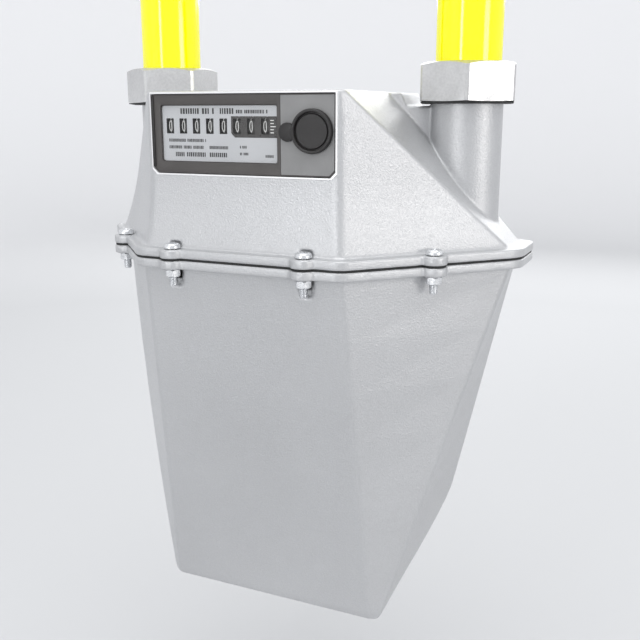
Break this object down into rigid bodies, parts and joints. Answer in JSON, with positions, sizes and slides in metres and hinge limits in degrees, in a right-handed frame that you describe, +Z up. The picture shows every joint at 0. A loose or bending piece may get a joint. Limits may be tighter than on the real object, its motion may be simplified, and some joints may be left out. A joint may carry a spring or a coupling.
{
  "type": "gas meter",
  "caption": "Wall-hung diaphragm gas meter in a tapered two-part cast case with a drum index, hanging from two union-nut pipe connections.",
  "frame": {"origin": "bottom centre of the bounding box", "axes": "+Z up along the pipe connections, +Y towards the wall behind the meter, -Y is the index front, +X to the right seen from the front"},
  "size_m": [0.2792, 0.133, 0.39],
  "materials": {
    "case_paint": "light silver-grey paint over a cast shell",
    "gasket_rubber": "black rubber",
    "zinc_steel": "zinc-plated steel",
    "cast_nut": "galvanised malleable iron",
    "pipe_paint": "glossy yellow gas-pipe paint",
    "dark_plastic": "dark brown-grey moulded plastic",
    "clear_plastic": "clear window",
    "black_plastic": "black plastic",
    "white_plastic": "natural white acetal",
    "unit_plastic": "grey filled plastic",
    "diaphragm_rubber": "coated diaphragm cloth",
    "magnet_ferrite": "plastic-bonded ferrite"
  },
  "bodies": {
    "case": {"upper_cover": "case_paint", "lower_case": "case_paint", "flange_gasket": "gasket_rubber", "inlet_seal_washer": "gasket_rubber", "outlet_seal_washer": "gasket_rubber", "flange_screw_1": "zinc_steel", "flange_screw_2": "zinc_steel", "flange_screw_3": "zinc_steel", "flange_screw_4": "zinc_steel", "flange_screw_5": "zinc_steel", "flange_screw_6": "zinc_steel", "flange_screw_7": "zinc_steel", "flange_screw_8": "zinc_steel", "flange_nut_1": "zinc_steel", "flange_nut_2": "zinc_steel", "flange_nut_3": "zinc_steel", "flange_nut_4": "zinc_steel", "flange_nut_5": "zinc_steel", "flange_nut_6": "zinc_steel", "flange_nut_7": "zinc_steel", "flange_nut_8": "zinc_steel", "drum_shaft": "zinc_steel", "inlet_tailpiece": "pipe_paint", "outlet_tailpiece": "pipe_paint", "register_faceplate": "dark_plastic", "register_window": "clear_plastic", "register_frame": "white_plastic", "measuring_body": "unit_plastic", "front_chamber_cover": "unit_plastic", "back_chamber_cover": "unit_plastic", "front_membrane": "diaphragm_rubber", "back_membrane": "diaphragm_rubber"},
    "inlet_nut": {"inlet_union_nut": "cast_nut"},
    "outlet_nut": {"outlet_union_nut": "cast_nut"},
    "seal_cap": {"seal_cap": "black_plastic"},
    "crank": {"crank_wheel": "unit_plastic"},
    "coupling": {"coupling_follower": "magnet_ferrite"},
    "front_disc": {"front_diaphragm_disc": "zinc_steel"},
    "back_disc": {"back_diaphragm_disc": "zinc_steel"},
    "front_flag": {"front_flag_rod": "zinc_steel"},
    "back_flag": {"back_flag_rod": "zinc_steel"},
    "front_link": {"front_link": "zinc_steel"},
    "back_link": {"back_link": "zinc_steel"},
    "front_slide_valve": {"slide_valve_1": "white_plastic"},
    "back_slide_valve": {"slide_valve_2": "white_plastic"},
    "wheel_1": {"number_wheel_1": "black_plastic"},
    "wheel_2": {"number_wheel_2": "black_plastic"},
    "wheel_3": {"number_wheel_3": "black_plastic"},
    "wheel_4": {"number_wheel_4": "black_plastic"},
    "wheel_5": {"number_wheel_5": "black_plastic"},
    "wheel_6": {"number_wheel_6": "black_plastic"},
    "wheel_7": {"number_wheel_7": "black_plastic"},
    "wheel_8": {"number_wheel_8": "black_plastic"},
    "pinion_1": {"transfer_pinion_1": "white_plastic"},
    "pinion_2": {"transfer_pinion_2": "white_plastic"},
    "pinion_3": {"transfer_pinion_3": "white_plastic"},
    "pinion_4": {"transfer_pinion_4": "white_plastic"},
    "pinion_5": {"transfer_pinion_5": "white_plastic"},
    "pinion_6": {"transfer_pinion_6": "white_plastic"},
    "pinion_7": {"transfer_pinion_7": "white_plastic"}
  },
  "joints": [
    {"name": "inlet_nut_turn", "type": "hinge", "parent": "case", "child": "inlet_nut", "pos_m": [-0.1, 0.03686, 0.318], "axis": [0, 0, 1], "continuous": true},
    {"name": "outlet_nut_turn", "type": "hinge", "parent": "case", "child": "outlet_nut", "pos_m": [0.1, 0.03686, 0.318], "axis": [0, 0, 1], "continuous": true},
    {"name": "seal_cap_pull", "type": "slide", "parent": "case", "child": "seal_cap", "axis": [0, -1, 0], "range_m": [0, 0.014]},
    {"name": "crank_spin", "type": "hinge", "parent": "case", "child": "crank", "pos_m": [0, -0.02514, 0.222], "axis": [0, 0, 1], "continuous": true},
    {"name": "coupling_spin", "type": "hinge", "parent": "case", "child": "coupling", "pos_m": [0, -0.02514, 0.274], "axis": [0, 0, 1], "continuous": true},
    {"name": "wheel_1_spin", "type": "hinge", "parent": "case", "child": "wheel_1", "pos_m": [-0.045, -0.03834, 0.2949], "axis": [-1, 0, 0], "continuous": true},
    {"name": "wheel_2_spin", "type": "hinge", "parent": "case", "child": "wheel_2", "pos_m": [-0.03651, -0.03834, 0.2949], "axis": [-1, 0, 0], "continuous": true},
    {"name": "wheel_3_spin", "type": "hinge", "parent": "case", "child": "wheel_3", "pos_m": [-0.02802, -0.03834, 0.2949], "axis": [-1, 0, 0], "continuous": true},
    {"name": "wheel_4_spin", "type": "hinge", "parent": "case", "child": "wheel_4", "pos_m": [-0.01953, -0.03834, 0.2949], "axis": [-1, 0, 0], "continuous": true},
    {"name": "wheel_5_spin", "type": "hinge", "parent": "case", "child": "wheel_5", "pos_m": [-0.01104, -0.03834, 0.2949], "axis": [-1, 0, 0], "continuous": true},
    {"name": "wheel_6_spin", "type": "hinge", "parent": "case", "child": "wheel_6", "pos_m": [-0.00255, -0.03834, 0.2949], "axis": [-1, 0, 0], "continuous": true},
    {"name": "wheel_7_spin", "type": "hinge", "parent": "case", "child": "wheel_7", "pos_m": [0.00594, -0.03834, 0.2949], "axis": [-1, 0, 0], "continuous": true},
    {"name": "wheel_8_spin", "type": "hinge", "parent": "case", "child": "wheel_8", "pos_m": [0.01443, -0.03834, 0.2949], "axis": [-1, 0, 0], "continuous": true},
    {"name": "pinion_1_spin", "type": "hinge", "parent": "case", "child": "pinion_1", "pos_m": [-0.04075, -0.02434, 0.2949], "axis": [1, 0, 0], "continuous": true},
    {"name": "pinion_2_spin", "type": "hinge", "parent": "case", "child": "pinion_2", "pos_m": [-0.03227, -0.02434, 0.2949], "axis": [1, 0, 0], "continuous": true},
    {"name": "pinion_3_spin", "type": "hinge", "parent": "case", "child": "pinion_3", "pos_m": [-0.02378, -0.02434, 0.2949], "axis": [1, 0, 0], "continuous": true},
    {"name": "pinion_4_spin", "type": "hinge", "parent": "case", "child": "pinion_4", "pos_m": [-0.01528, -0.02434, 0.2949], "axis": [1, 0, 0], "continuous": true},
    {"name": "pinion_5_spin", "type": "hinge", "parent": "case", "child": "pinion_5", "pos_m": [-0.00679, -0.02434, 0.2949], "axis": [1, 0, 0], "continuous": true},
    {"name": "pinion_6_spin", "type": "hinge", "parent": "case", "child": "pinion_6", "pos_m": [0.00169, -0.02434, 0.2949], "axis": [1, 0, 0], "continuous": true},
    {"name": "pinion_7_spin", "type": "hinge", "parent": "case", "child": "pinion_7", "pos_m": [0.01018, -0.02434, 0.2949], "axis": [1, 0, 0], "continuous": true},
    {"name": "front_flag_swing", "type": "hinge", "parent": "case", "child": "front_flag", "pos_m": [0.04, -0.02064, 0.182], "axis": [0, 0, 1], "range_deg": [-12.5, 12.5]},
    {"name": "back_flag_swing", "type": "hinge", "parent": "case", "child": "back_flag", "pos_m": [-0.04, 0.02836, 0.182], "axis": [0, 0, 1], "range_deg": [-12.5, 12.5]},
    {"name": "front_disc_slide", "type": "slide", "parent": "case", "child": "front_disc", "axis": [0, 1, 0], "range_m": [-0.0082, 0.0082]},
    {"name": "back_disc_slide", "type": "slide", "parent": "case", "child": "back_disc", "axis": [0, 1, 0], "range_m": [-0.0082, 0.0082]},
    {"name": "front_link_turn", "type": "hinge", "parent": "front_flag", "child": "front_link", "pos_m": [0.04, -0.03864, 0.2185], "axis": [0, 0, 1], "range_deg": [-12.6, 12.6]},
    {"name": "back_link_turn", "type": "hinge", "parent": "back_flag", "child": "back_link", "pos_m": [-0.04, 0.01036, 0.2209], "axis": [0, 0, 1], "range_deg": [-12.6, 12.6]},
    {"name": "front_slide_valve_move", "type": "slide", "parent": "case", "child": "front_slide_valve", "axis": [0, 1, 0], "range_m": [-0.004, 0.004]},
    {"name": "back_slide_valve_move", "type": "slide", "parent": "case", "child": "back_slide_valve", "axis": [0, 1, 0], "range_m": [-0.004, 0.004]}
  ],
  "couplings": [
    {"joint": "coupling_spin", "follows": "crank_spin", "ratio": 1},
    {"joint": "wheel_1_spin", "follows": "crank_spin", "ratio": 0.000000012},
    {"joint": "wheel_2_spin", "follows": "crank_spin", "ratio": 0.00000012},
    {"joint": "wheel_3_spin", "follows": "crank_spin", "ratio": 0.0000012},
    {"joint": "wheel_4_spin", "follows": "crank_spin", "ratio": 0.000012},
    {"joint": "wheel_5_spin", "follows": "crank_spin", "ratio": 0.00012},
    {"joint": "wheel_6_spin", "follows": "crank_spin", "ratio": 0.0012},
    {"joint": "wheel_7_spin", "follows": "crank_spin", "ratio": 0.012},
    {"joint": "wheel_8_spin", "follows": "crank_spin", "ratio": 0.12},
    {"joint": "pinion_1_spin", "follows": "crank_spin", "ratio": 0.00000003},
    {"joint": "pinion_2_spin", "follows": "crank_spin", "ratio": 0.0000003},
    {"joint": "pinion_3_spin", "follows": "crank_spin", "ratio": 0.000003},
    {"joint": "pinion_4_spin", "follows": "crank_spin", "ratio": 0.00003},
    {"joint": "pinion_5_spin", "follows": "crank_spin", "ratio": 0.0003},
    {"joint": "pinion_6_spin", "follows": "crank_spin", "ratio": 0.003},
    {"joint": "pinion_7_spin", "follows": "crank_spin", "ratio": 0.03},
    {"joint": "front_disc_slide", "follows": "front_flag_swing", "m_per_rad": -0.037},
    {"joint": "back_disc_slide", "follows": "back_flag_swing", "m_per_rad": 0.037},
    {"joint": "front_link_turn", "follows": "front_flag_swing", "ratio": -1},
    {"joint": "back_link_turn", "follows": "back_flag_swing", "ratio": -1}
  ]
}
